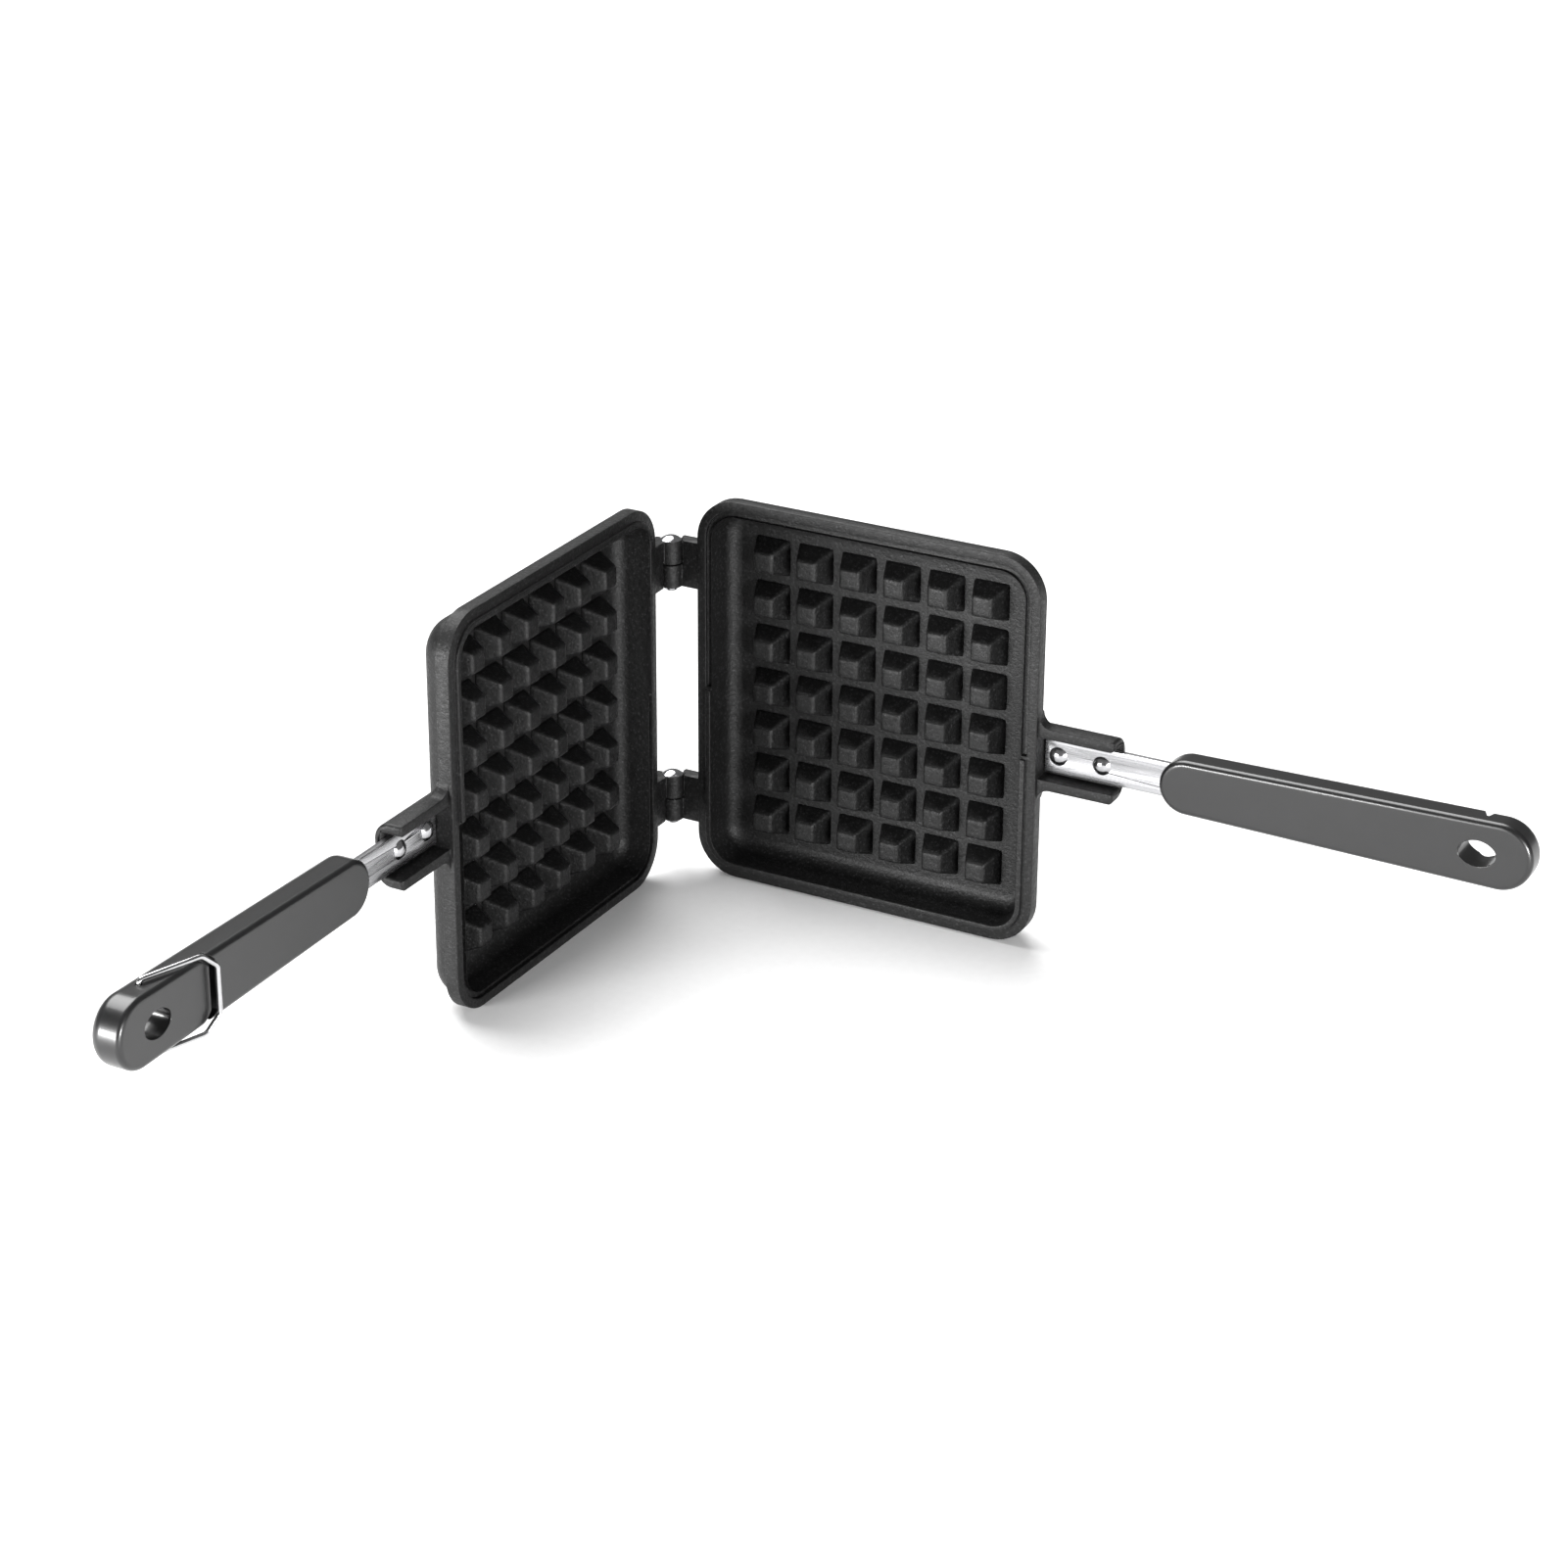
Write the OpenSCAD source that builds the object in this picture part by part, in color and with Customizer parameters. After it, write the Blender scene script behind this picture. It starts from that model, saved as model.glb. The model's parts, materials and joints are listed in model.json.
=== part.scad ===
// Egg waffle pan for the stove: two cast plates with square pegs on a pair of pinned
// hinges, each with a steel strap riveted into a bracket, a moulded handle on the
// strap and a wire bail on one handle that hooks over the other.
// Each half is drawn lying on its back: X runs from the hinge axis to the handle end,
// Y along the hinge axis and Z up out of the open face, with the parting plane at Z = 0.
// The pan then stands on the lower edges of its plates, opened like a book.

/* [Plates] */
// Size of a plate from the hinge side to the handle side
plate_length = 141; // [135:1:150]
// Size of a plate along the hinge axis
plate_width = 153; // [147:1:165]
// Thickness of one plate from the parting plane to its back
plate_depth = 16; // [15.5:0.5:18]
// Corner radius of the rim seen from the open side
corner_radius = 16.5; // [15:0.5:20]
// Width of the flat rim around the batter recess
rim_width = 6; // [5.5:0.1:6.5]
// Thickness of the flange that carries the rim
flange_thickness = 5.5; // [4.5:0.1:6]
// How far the body stands back under the flange
flange_overhang = 3.5; // [2.5:0.1:4]
// Rounding of the body towards its back
back_radius = 10; // [8:0.5:11]
// Thickness of the floor behind the batter recess
floor_thickness = 3; // [2.5:0.1:3.5]
// Radius where the recess wall turns into the floor
cavity_fillet = 6; // [4:0.5:7]
// Draft of the recess wall
cavity_draft = 8; // [4:1:10]

/* [Rim joint] */
// Width of the raised lip on one half of the rim
lip_width = 2.1; // [1.8:0.1:2.4]
// Height of the raised lip
lip_height = 1.4; // [1:0.1:1.6]
// Play around the lip in the rebate of the other plate
lip_play = 0.3; // [0.2:0.05:0.4]

/* [Pegs] */
// Number of pegs from the hinge to the handle
peg_columns = 6; // [5:1:6]
// Number of pegs along the hinge axis
peg_rows = 7; // [5:1:7]
// Spacing of the pegs from the hinge to the handle
peg_pitch_across = 18; // [17:0.1:18.4]
// Spacing of the pegs along the hinge axis
peg_pitch_along = 17.7; // [17:0.1:18.2]
// Side of a peg at the floor
peg_base = 14.6; // [13:0.1:15.4]
// Side of a peg at its top
peg_top = 7.5; // [6:0.1:9]
// Drop from the parting plane to the peg tops
peg_drop = 3.9; // [3:0.1:5]

/* [Hinges] */
// Distance from the hinge axis to the rim
hinge_offset = 11.2; // [10:0.1:13]
// Distance between the middles of the two hinges
hinge_spacing = 96; // [80:1:110]
// Length of one hinge, both barrels together
hinge_length = 18.4; // [16:0.1:22]
// Outside diameter of a barrel
barrel_diameter = 8.6; // [8:0.1:9.4]
// Thickness of the lug that carries a barrel
lug_thickness = 6.3; // [5:0.1:7]
// Gap between the two barrels of a hinge
barrel_gap = 0.4; // [0.2:0.1:0.6]
// Gap between a lug and the other plate's barrel
lug_gap = 0.5; // [0.4:0.1:0.8]
// Diameter of a hinge pin
pin_diameter = 4; // [3:0.1:4.4]
// Radial play of a pin in the barrel that turns on it
pin_play = 0.06; // [0.03:0.01:0.09]
// Diameter of a pin's domed head
pin_head_diameter = 8; // [6:0.1:8.4]
// Height of a pin's domed head
pin_head_height = 1.6; // [1.2:0.1:2.2]
// Diameter of a pin's peened end
pin_tail_diameter = 5.4; // [5:0.1:6.4]
// Angle between the open faces as the pan stands
open_angle = 90; // [60:1:120]

/* [Brackets] */
// Reach of a bracket from the rim
bracket_length = 29.8; // [27:0.1:34]
// Width of a bracket over its two walls
bracket_width = 24.4; // [22.4:0.1:27]
// Thickness of a bracket wall
bracket_wall = 4; // [3:0.1:4.4]
// Drop from the parting plane to the edges of the bracket walls
bracket_drop = 1.5; // [1:0.1:2.5]
// Drop from the parting plane to the back of a bracket
bracket_back = 13; // [12.5:0.1:14]
// Rounding of a bracket's back
bracket_radius = 6.5; // [5:0.1:7]
// Fillet between a bracket and the rim
bracket_fillet = 5; // [3:0.5:7]

/* [Straps] */
// Width of a steel strap
strap_width = 13.2; // [11:0.1:14]
// Thickness of a steel strap
strap_thickness = 2.2; // [1.8:0.1:2.4]
// Drop from the parting plane to the face of a strap
strap_drop = 6.8; // [6.6:0.1:7.2]
// Length of a strap held inside its handle
strap_grip = 62; // [45:1:80]
// Gap between the end of a strap and the rim
strap_gap = 0.6; // [0.4:0.1:1.2]
// Distance from the rim to the first rivet
rivet_inset = 5.9; // [5.4:0.1:7]
// Distance between the two rivets
rivet_pitch = 17.2; // [12:0.1:18]
// Diameter of a rivet's shank
rivet_diameter = 4; // [3:0.1:4.4]
// Diameter of a rivet's domed head
rivet_head_diameter = 7.2; // [6.5:0.1:8]
// Height of a rivet's domed head
rivet_head_height = 1.7; // [1.2:0.1:2]
// Height of the set head on the back of a bracket
rivet_tail_height = 1.3; // [1:0.1:1.6]

/* [Handles] */
// Distance from the rim to the near end of a handle
handle_start = 47; // [42:0.5:56]
// Length of a handle
handle_length = 139.5; // [125:0.5:150]
// Width of a handle across its near end
handle_near_width = 21; // [19:0.1:22.4]
// Width of a handle across its far end
handle_far_width = 25.2; // [24:0.1:27]
// Drop from the parting plane to the inner face of a handle
handle_drop = 2.5; // [2:0.1:3]
// Thickness of a handle
handle_thickness = 13; // [12:0.1:14]
// Rounding around the inner face of a handle
handle_inner_radius = 2; // [1:0.1:3]
// Rounding around the outer face of a handle
handle_outer_radius = 5; // [3:0.1:6]
// Distance from the end of a handle to its hanging hole and bail pivot
hole_inset = 20; // [19:0.5:23]
// Length of the oval hanging hole
hole_length = 13.7; // [10:0.1:15]
// Width of the oval hanging hole
hole_width = 9.7; // [8:0.1:10.4]

/* [Latch] */
// Diameter of the bail wire
wire_diameter = 2; // [1.8:0.1:2.2]
// Radial play of the bail ends in the handle
wire_play = 0.06; // [0.03:0.01:0.09]
// Gap between the bail arms and the sides of the handle
bail_gap = 0.5; // [0.3:0.1:1]
// Distance from the bail pivot to its cross bar
bail_reach = 30; // [29.6:0.1:32]
// Length of the slanted corners of the bail along its arms
bail_corner = 6; // [4:0.1:7]
// Length of the straight cross bar
bail_bar = 17; // [13:0.1:20]
// Depth to which the bail ends enter the handle
bail_grip = 5; // [4:0.1:6]
// Angle of the bail from its handle as the pan stands
bail_angle = 18; // [16.5:0.1:19]
// Width of the groove that the bail folds into
groove_width = 3.2; // [3:0.1:4]
// Depth of the groove that the bail folds into
groove_depth = 2.9; // [2.8:0.1:3.4]
// Angle at which the folded bail lies in its groove
bail_fold_angle = 12.6; // [12:0.1:14]
// Depth of the latch notch in the other handle
notch_depth = 4; // [3:0.1:5]
// Thickness taken off the handle end beyond the notch
notch_relief = 1.5; // [1.3:0.1:2.5]
// Length of the ramp from the notch to the thinner end
notch_ramp = 5; // [4:0.5:8]

/* [Hidden] */
$fn = 64;

// Overshoot of a cut past the surface that it opens
past = 1;
// Places along X in a half
rim_near = hinge_offset;
rim_far = hinge_offset + plate_length;
plate_middle = (rim_near + rim_far) / 2;
bracket_end = rim_far + bracket_length;
strap_near = rim_far + strap_gap;
strap_far = rim_far + handle_start + strap_grip;
rivet_places = [rim_far + rivet_inset, rim_far + rivet_inset + rivet_pitch];
near_radius = handle_near_width / 2;
far_radius = handle_far_width / 2;
handle_near = rim_far + handle_start;
handle_far = handle_near + handle_length;
near_centre = handle_near + near_radius;
far_centre = handle_far - far_radius;
hole_place = handle_far - hole_inset;

// Distances from the middle of a plate at which its rebate and its lip end
rebate_end = 0.4;
lip_end = rebate_end + lip_play;

// Places along Z in a half
peg_height = plate_depth - floor_thickness - peg_drop;
cavity_floor = -(plate_depth - floor_thickness);
strap_face = -strap_drop;
channel_floor = strap_face - strap_thickness;
handle_face = -handle_drop;
handle_back = handle_face - handle_thickness;
bail_pivot = (handle_face + handle_back) / 2;

// Taper of a handle, and its half width at a place along X
taper = asin((far_radius - near_radius) / (far_centre - near_centre));
function handle_half_width(x) = (near_radius + (x - near_centre) * sin(taper)) / cos(taper);
bail_arm = handle_half_width(hole_place) + bail_gap + wire_diameter / 2;
bail_root = handle_half_width(hole_place) - bail_grip;
bail_points = [[0, bail_root], [0, bail_arm], [bail_corner - bail_reach, bail_arm],
    [-bail_reach, bail_bar / 2], [-bail_reach, -bail_bar / 2],
    [bail_corner - bail_reach, -bail_arm], [0, -bail_arm], [0, -bail_root]];
// What each bend takes off the corner of the bail, less where it enters the handle
cut_at_pivot = bail_gap + 0.35 * wire_diameter;
cut_at_bar = 0.7 * wire_diameter;
bail_cuts = [0, cut_at_pivot, cut_at_bar, cut_at_bar, cut_at_bar, cut_at_bar,
    cut_at_pivot, 0];

// The standing pan's origin is under the middle of its outline, on the lower edges
reach = (handle_far - plate_depth) / 2;
standing = [-reach, reach, plate_width / 2];

// A corner to cut away so that a square edge becomes round, towards +X and +Y
module round_off(r) {
    difference() {
        translate([-r, -r]) square(r + past);
        translate([-r, -r]) circle(r);
    }
}

// A shallow solid on a rounded rectangle, whose edge section is the child, drawn
// from the corner centre outwards
module dish(length, width, radius, top, bottom) {
    core_x = length / 2 - radius;
    core_y = width / 2 - radius;
    for (sx = [-1, 1], sy = [-1, 1])
        translate([sx * core_x, sy * core_y, 0])
            rotate_extrude() children();
    rotate([90, 0, 0])
        linear_extrude(2 * core_y, center = true) {
            for (side = [0, 1]) mirror([side, 0]) translate([core_x, 0]) children();
            translate([-core_x, bottom]) square([2 * core_x, top - bottom]);
        }
    rotate([90, 0, 90])
        linear_extrude(2 * core_x, center = true) {
            for (side = [0, 1]) mirror([side, 0]) translate([core_y, 0]) children();
            translate([-core_y, bottom]) square([2 * core_y, top - bottom]);
        }
}

// A rounded rectangle centred on the plate
module plate_outline(inset) {
    length = plate_length - 2 * inset;
    width = plate_width - 2 * inset;
    radius = corner_radius - inset;
    square([length - 2 * radius, width], center = true);
    square([length, width - 2 * radius], center = true);
    for (sx = [-1, 1], sy = [-1, 1])
        translate([sx * (length / 2 - radius), sy * (width / 2 - radius)]) circle(radius);
}

// The flange with the body behind it
module shell_outside() {
    body_radius = corner_radius - flange_overhang;
    translate([0, 0, -flange_thickness]) linear_extrude(flange_thickness) plate_outline(0);
    dish(plate_length - 2 * flange_overhang, plate_width - 2 * flange_overhang,
            body_radius, -past, -plate_depth)
        difference() {
            translate([0, -plate_depth]) square([body_radius, plate_depth - past]);
            translate([body_radius, -plate_depth]) mirror([0, 1]) round_off(back_radius);
        }
}

// The batter recess, with drafted walls that turn into the floor on a fillet
module recess() {
    radius = corner_radius - rim_width;
    wall_height = -cavity_floor - cavity_fillet * (1 - sin(cavity_draft));
    wall_foot = radius - wall_height * tan(cavity_draft);
    fillet_centre = wall_foot - cavity_fillet * cos(cavity_draft);
    dish(plate_length - 2 * rim_width, plate_width - 2 * rim_width, radius,
            past + lip_height, cavity_floor)
        union() {
            polygon([[0, past + lip_height], [radius, past + lip_height], [radius, 0],
                [wall_foot, -wall_height], [fillet_centre, cavity_floor + cavity_fillet],
                [0, cavity_floor + cavity_fillet]]);
            translate([0, cavity_floor]) square([fillet_centre, -cavity_floor]);
            intersection() {
                translate([fillet_centre, cavity_floor + cavity_fillet])
                    circle(cavity_fillet);
                translate([fillet_centre / 2, cavity_floor]) square(2 * cavity_fillet);
            }
        }
}

// The band of the rim next to the recess, on the half of the plate given by side and
// up to a distance from the middle
module rim_band(width, side, end) {
    intersection() {
        difference() {
            plate_outline(rim_width - width);
            plate_outline(rim_width);
        }
        translate([-plate_length, side > 0 ? end : -plate_width - end])
            square([2 * plate_length, plate_width]);
    }
}

// The section of one row of pegs, and all pegs as the crossing of rows and columns
module peg_section() {
    polygon([[-peg_base / 2, cavity_floor - past], [peg_base / 2, cavity_floor - past],
        [peg_base / 2, cavity_floor], [peg_top / 2, -peg_drop], [-peg_top / 2, -peg_drop],
        [-peg_base / 2, cavity_floor]]);
}

module pegs() {
    intersection() {
        rotate([90, 0, 0])
            linear_extrude(peg_rows * peg_pitch_along, center = true)
                for (i = [0 : peg_columns - 1])
                    translate([(i - (peg_columns - 1) / 2) * peg_pitch_across, 0])
                        peg_section();
        rotate([90, 0, 90])
            linear_extrude(peg_columns * peg_pitch_across, center = true)
                for (j = [0 : peg_rows - 1])
                    translate([(j - (peg_rows - 1) / 2) * peg_pitch_along, 0])
                        peg_section();
    }
}

// A cylinder along Y on the hinge axis
module along_axis(y0, y1, radius) {
    translate([0, y0, 0]) rotate([-90, 0, 0]) cylinder(h = y1 - y0, r = radius);
}

// A hinge lug: it runs the whole length of the hinge and carries the lower barrel
module lug() {
    half = hinge_length / 2;
    barrel_radius = barrel_diameter / 2;
    lug_end = rim_near + rim_width - past;
    along_axis(-half, -barrel_gap / 2, barrel_radius);
    translate([0, -half, -lug_thickness])
        cube([lug_end, half - barrel_gap / 2, lug_thickness - barrel_gap]);
    difference() {
        translate([barrel_radius / 2, -half, -lug_thickness])
            cube([lug_end - barrel_radius / 2, hinge_length, lug_thickness - barrel_gap]);
        along_axis(-barrel_gap / 2, half + past, barrel_radius + lug_gap);
    }
}

// The outside of a handle bracket, a trough with a rounded back
module bracket_outside() {
    half = bracket_width / 2;
    root = rim_far - rim_width - back_radius / 2;
    translate([root, 0, 0]) rotate([90, 0, 90])
        linear_extrude(bracket_end - root)
            difference() {
                translate([-half, -bracket_back])
                    square([bracket_width, bracket_back - bracket_drop]);
                for (side = [0, 1]) mirror([side, 0])
                    translate([half, -bracket_back]) mirror([0, 1]) round_off(bracket_radius);
            }
    for (side = [0, 1]) mirror([0, side, 0])
        translate([rim_far, half, bracket_radius - bracket_back])
            linear_extrude(bracket_back - bracket_radius - bracket_drop)
                difference() {
                    translate([-past, -past]) square(bracket_fillet + past);
                    translate([bracket_fillet, bracket_fillet]) circle(bracket_fillet);
                }
}

// The channel that the strap lies in
module bracket_channel() {
    inner = bracket_width - 2 * bracket_wall;
    translate([rim_far, -inner / 2, channel_floor])
        cube([bracket_length + past, inner, -channel_floor + past]);
}

// A hole through a bracket or a strap for each rivet
module rivet_holes() {
    for (x = rivet_places)
        translate([x, 0, -bracket_back - past])
            cylinder(h = bracket_back + past, r = rivet_diameter / 2);
}

// One cast plate, with the bore that its barrels need
module casting(bore_radius) {
    difference() {
        union() {
            translate([plate_middle, 0, 0]) shell_outside();
            for (side = [-1, 1]) translate([0, side * hinge_spacing / 2, 0]) lug();
            bracket_outside();
            translate([plate_middle, 0, -past])
                linear_extrude(lip_height + past) rim_band(lip_width, -1, lip_end);
        }
        translate([plate_middle, 0, 0]) recess();
        translate([plate_middle, 0, -lip_height - lip_play])
            linear_extrude(lip_height + lip_play + past)
                rim_band(lip_width + lip_play, 1, rebate_end);
        bracket_channel();
        rivet_holes();
        along_axis(-plate_width / 2, plate_width / 2, bore_radius);
    }
    translate([plate_middle, 0, 0]) pegs();
}

// The solid outside of a handle of a given thickness, from two round ends and the
// two sloping sides between them
module handle_outside(thickness, outer_radius) {
    side_length = (far_centre - near_centre) * cos(taper);
    overlap = far_radius - near_radius + past;
    for (end = [[near_centre, near_radius], [far_centre, far_radius]])
        translate([end[0], 0, 0])
            rotate_extrude() handle_edge(end[1], 0, thickness, outer_radius);
    for (side = [0, 1]) mirror([0, side, 0])
        translate([near_centre, 0, 0]) rotate([90, 0, taper + 90])
            linear_extrude(side_length)
                handle_edge(near_radius, overlap, thickness, outer_radius);
}

// The edge section of a handle, from its middle outwards
module handle_edge(radius, overlap, thickness, outer_radius) {
    difference() {
        translate([-overlap, handle_face - thickness]) square([radius + overlap, thickness]);
        translate([radius, handle_face]) round_off(handle_inner_radius);
        translate([radius, handle_face - thickness]) mirror([0, 1]) round_off(outer_radius);
    }
}

// An oval of two small and two large arcs that run smoothly into each other
module oval(length, width) {
    small = 0.74 * width / 2;
    centre = length / 2 - small;
    half = width / 2;
    large = (centre * centre + half * half - small * small) / (2 * (half - small));
    joint = large * centre / (large - small);
    for (side = [-1, 1]) translate([side * centre, 0]) circle(small);
    intersection() {
        translate([0, half - large]) circle(large, $fn = 128);
        translate([0, large - half]) circle(large, $fn = 128);
        square([2 * joint, width + past], center = true);
    }
}

// The hanging hole of a handle
module hanging_hole() {
    translate([hole_place, 0, handle_back - past])
        linear_extrude(handle_thickness + 2 * past) oval(hole_length, hole_width);
}

// A steel strap, with a keying hole in the part that the handle is moulded round
module strap() {
    difference() {
        translate([0, 0, channel_floor])
            linear_extrude(strap_thickness) {
                translate([strap_near, -strap_width / 2])
                    square([strap_far - strap_near - strap_width / 2, strap_width]);
                translate([strap_far - strap_width / 2, 0]) circle(strap_width / 2);
            }
        rivet_holes();
        translate([strap_far - strap_width, 0, channel_floor - past])
            cylinder(h = strap_thickness + 2 * past, r = strap_width / 4);
    }
}

// A part of a ball that rises by height over a round foot
module dome(diameter, height) {
    ball = (diameter * diameter / 4 + height * height) / (2 * height);
    intersection() {
        translate([0, 0, height - ball]) sphere(ball);
        cylinder(h = height + past, r = diameter / 2);
    }
}

// A rivet through strap and bracket, domed in front and set flat behind
module rivet(x) {
    translate([x, 0, strap_face]) dome(rivet_head_diameter, rivet_head_height);
    translate([x, 0, -bracket_back])
        cylinder(h = bracket_back - strap_drop, r = rivet_diameter / 2);
    translate([x, 0, -bracket_back]) mirror([0, 0, 1])
        dome(rivet_head_diameter, rivet_tail_height);
}

// A hinge pin: head on the upper barrel, peened end under the lower one
module hinge_pin() {
    half = hinge_length / 2;
    tail = past;
    along_axis(-half - barrel_gap, half, pin_diameter / 2);
    along_axis(-half - barrel_gap - tail, -half - barrel_gap, pin_tail_diameter / 2);
    translate([0, half, 0]) rotate([-90, 0, 0]) dome(pin_head_diameter, pin_head_height);
}

// The groove in the left handle, a band bent in the shape of the folded bail
module bail_groove() {
    half = groove_width / 2;
    bar_place = hole_place - bail_reach * cos(bail_fold_angle);
    turn = atan2(bail_corner, bail_arm - bail_bar / 2);
    mitre = half * tan(turn / 2);
    slant = far_radius * [sin(turn), cos(turn)];
    front = [bar_place - half, bail_bar / 2 + mitre];
    rear = [bar_place + half, bail_bar / 2 - mitre];
    upper = [front, front + slant, rear + slant, rear];
    translate([0, 0, handle_face - groove_depth])
        linear_extrude(groove_depth + past)
            polygon(concat(upper, [for (i = [3 : -1 : 0]) [upper[i][0], -upper[i][1]]]));
}

// The left handle carries the bail in two blind holes in its edges
module bail_handle() {
    pivot_depth = bail_grip + wire_diameter / 2;
    difference() {
        handle_outside(handle_thickness, handle_outer_radius);
        hanging_hole();
        bail_groove();
        strap();
        for (side = [0, 1]) mirror([0, side, 0])
            translate([hole_place, far_radius + past, bail_pivot]) rotate([90, 0, 0])
                cylinder(h = far_radius + past - bail_root + wire_play,
                    r = wire_diameter / 2 + wire_play);
    }
}

// The right handle has the latch notch across its outer face and a thinner end
module notch_handle() {
    notch_top = handle_back + notch_depth;
    difference() {
        union() {
            handle_outside(handle_thickness - notch_relief, handle_outer_radius - past);
            intersection() {
                handle_outside(handle_thickness, handle_outer_radius);
                translate([handle_near - past, -far_radius - past, handle_back - past])
                    cube([hole_place - handle_near + past, handle_far_width + 2 * past,
                        handle_thickness + 2 * past]);
            }
        }
        translate([0, far_radius + past, 0]) rotate([90, 0, 0])
            linear_extrude(handle_far_width + 2 * past)
                polygon([[hole_place - notch_depth - past, handle_back - past],
                    [hole_place, notch_top],
                    [hole_place + notch_ramp, handle_back + notch_relief],
                    [hole_place + notch_ramp, handle_back - past]]);
        hanging_hole();
        strap();
    }
}

// A point on the way from one point to another
function toward(a, b, distance) = a + distance * (b - a) / norm(b - a);

// A row of points with every corner cut off, so that each bend takes two steps
function cut_corners(p, cuts) = concat([p[0]],
    [for (i = [1 : len(p) - 2], step = [-1, 1]) toward(p[i], p[i + step], cuts[i])],
    [p[len(p) - 1]]);

// Round wire through a row of points, with a ball a hair fuller than the wire at each
// bend so that the straights join cleanly
module bent_wire(points) {
    for (i = [0 : len(points) - 2]) {
        run = points[i + 1] - points[i];
        translate(points[i]) rotate([0, 0, atan2(run[1], run[0])]) {
            rotate([0, 90, 0]) cylinder(h = norm(run), r = wire_diameter / 2);
            if (i > 0) sphere(0.515 * wire_diameter);
        }
    }
}

// The bail in its half, turned about its pivot by an angle from the handle
module bail(angle) {
    translate([hole_place, 0, bail_pivot]) rotate([0, angle, 0])
        bent_wire(cut_corners(bail_points, bail_cuts));
}

// The right half stands along X, and the left half is turned away from it
module right_half() { translate(standing) rotate([90, 0, 0]) children(); }
module left_half() {
    translate(standing) rotate([0, 0, -open_angle]) rotate([-90, 0, 0]) children();
}

module left_plate() { color("#2b2b2b") left_half() casting(pin_diameter / 2); }
module right_plate() { color("#2b2b2b") right_half() casting(pin_diameter / 2 + pin_play); }
module left_strap() { color("#e8e8e8") left_half() strap(); }
module right_strap() { color("#e8e8e8") right_half() strap(); }
module left_inner_rivet() { color("#d8d8d8") left_half() rivet(rivet_places[0]); }
module left_outer_rivet() { color("#d8d8d8") left_half() rivet(rivet_places[1]); }
module right_inner_rivet() { color("#d8d8d8") right_half() rivet(rivet_places[0]); }
module right_outer_rivet() { color("#d8d8d8") right_half() rivet(rivet_places[1]); }
module left_handle() { color("#1a1a1a") left_half() bail_handle(); }
module right_handle() { color("#1a1a1a") right_half() notch_handle(); }
module upper_hinge_pin() {
    color("#d8d8d8") right_half() translate([0, hinge_spacing / 2, 0]) hinge_pin();
}
module lower_hinge_pin() {
    color("#d8d8d8") right_half() translate([0, -hinge_spacing / 2, 0]) hinge_pin();
}
module latch_bail() { color("#f0f0f0") left_half() bail(bail_angle); }

left_plate();
right_plate();
left_strap();
right_strap();
left_inner_rivet();
left_outer_rivet();
right_inner_rivet();
right_outer_rivet();
left_handle();
right_handle();
upper_hinge_pin();
lower_hinge_pin();
latch_bail();
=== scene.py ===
# %% [markdown]
# # An egg waffle pan for the stove
# Two cast plates with square pegs hang on a pair of pinned hinges and stand open like a
# book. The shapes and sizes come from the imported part, which is loaded as a fixed frame.
# This scene rounds the castings' edges, lays out the peg grids and sweeps the bail's wire
# with Geometry Nodes, and draws handles, rivets and pins again with finer curves. It then
# gives each material its finish and lights the pan as in a product photograph.

# %% Load the frame
import json
import math

import bmesh
import bpy
from mathutils import Matrix, Vector


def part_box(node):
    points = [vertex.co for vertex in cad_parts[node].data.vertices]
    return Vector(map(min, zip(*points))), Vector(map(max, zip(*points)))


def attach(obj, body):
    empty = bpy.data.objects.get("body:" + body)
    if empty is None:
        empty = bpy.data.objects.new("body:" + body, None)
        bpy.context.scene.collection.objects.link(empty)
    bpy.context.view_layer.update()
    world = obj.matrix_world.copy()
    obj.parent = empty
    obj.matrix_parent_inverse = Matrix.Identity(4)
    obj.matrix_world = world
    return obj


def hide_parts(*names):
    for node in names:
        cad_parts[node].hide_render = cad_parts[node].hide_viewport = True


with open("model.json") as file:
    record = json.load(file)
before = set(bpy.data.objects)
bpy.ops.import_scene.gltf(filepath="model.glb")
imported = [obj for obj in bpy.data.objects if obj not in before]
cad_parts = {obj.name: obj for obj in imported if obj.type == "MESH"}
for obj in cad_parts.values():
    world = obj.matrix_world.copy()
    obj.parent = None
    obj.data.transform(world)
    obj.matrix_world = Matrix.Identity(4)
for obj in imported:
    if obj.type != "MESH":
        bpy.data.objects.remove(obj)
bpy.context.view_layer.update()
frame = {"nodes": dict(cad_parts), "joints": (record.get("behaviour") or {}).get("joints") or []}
MM = 0.001
print("nodes:", sorted(frame["nodes"]))

# %% [markdown]
# ## Where each half lies
# Both plates are the same casting, so it is easiest to think of one half lying on its back:
# X runs from the hinge axis to the end of the handle, Y along the hinge axis, and Z up out
# of the open face, with the parting plane at zero. Two matrices carry a half from there to
# its place in the standing pan. The hinge axis is read from the record, so it follows the
# part.

# %% The two halves
hinge = next(j for j in frame["joints"] if j["name"] == "plate_hinge")
to_axis = Matrix.Translation(Vector(hinge["pos_m"]))
HALVES = {
    "right": to_axis @ Matrix.Rotation(math.radians(90), 4, "X"),
    "left": to_axis @ Matrix.Rotation(math.radians(-90), 4, "Z")
            @ Matrix.Rotation(math.radians(-90), 4, "X"),
}
print("hinge axis in mm:", [round(c / MM, 2) for c in hinge["pos_m"]])

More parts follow.
